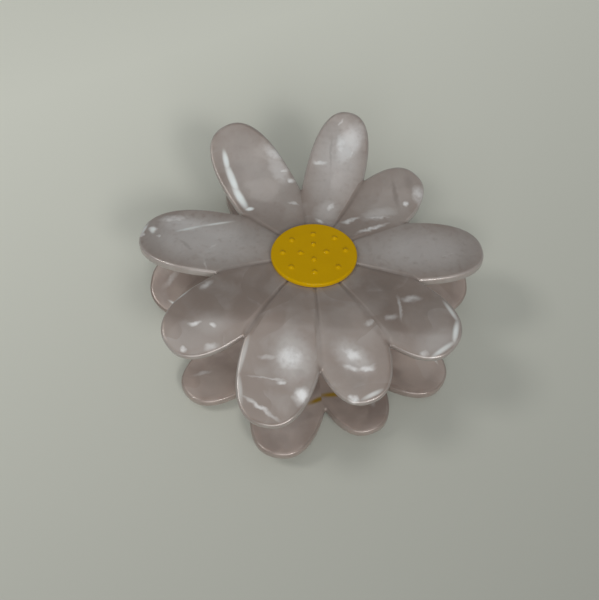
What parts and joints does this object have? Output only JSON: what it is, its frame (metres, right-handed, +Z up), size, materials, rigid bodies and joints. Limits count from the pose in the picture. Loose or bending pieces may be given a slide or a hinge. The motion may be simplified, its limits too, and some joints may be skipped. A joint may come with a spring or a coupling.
{
  "type": "flower hair clip",
  "caption": "Daisy claw clip for hair: S-bent pearl acetate flower plates with yellow centres, sprung on a hinge so that squeezing the back petals opens the front petals.",
  "frame": {"origin": "middle of the footprint, on the surface that the lower half lies on", "axes": "+X along the hinge pin, +Y from the jaw petals to the handle petals, +Z up through the two halves"},
  "size_m": [0.081, 0.0838, 0.0294],
  "materials": {
    "pearl_acetate": "pearlescent grey-lilac cellulose acetate, polished",
    "yellow_enamel": "glossy golden yellow",
    "gold_steel": "gold-coloured plated steel, satin",
    "spring_steel": "drawn spring wire",
    "clear_nylon": "natural nylon"
  },
  "bodies": {
    "lower": {"lower_flower": "pearl_acetate", "lower_disc": "yellow_enamel", "lower_leaf": "gold_steel", "lower_rivet_left": "gold_steel", "lower_rivet_right": "gold_steel", "hinge_pin": "gold_steel", "pin_washer": "gold_steel", "spring_sleeve": "clear_nylon", "spring": "spring_steel"},
    "upper": {"upper_flower": "pearl_acetate", "upper_disc": "yellow_enamel", "upper_leaf": "gold_steel", "upper_rivet_left": "gold_steel", "upper_rivet_right": "gold_steel"}
  },
  "joints": [
    {"name": "jaw_hinge", "type": "hinge", "parent": "lower", "child": "upper", "pos_m": [0.00064, 0.01335, 0.01478], "axis": [-1, 0, 0], "range_deg": [0, 45], "stiffness_Nm_per_rad": 0.25, "springref_deg": -34.38, "deforming": ["spring"]}
  ]
}
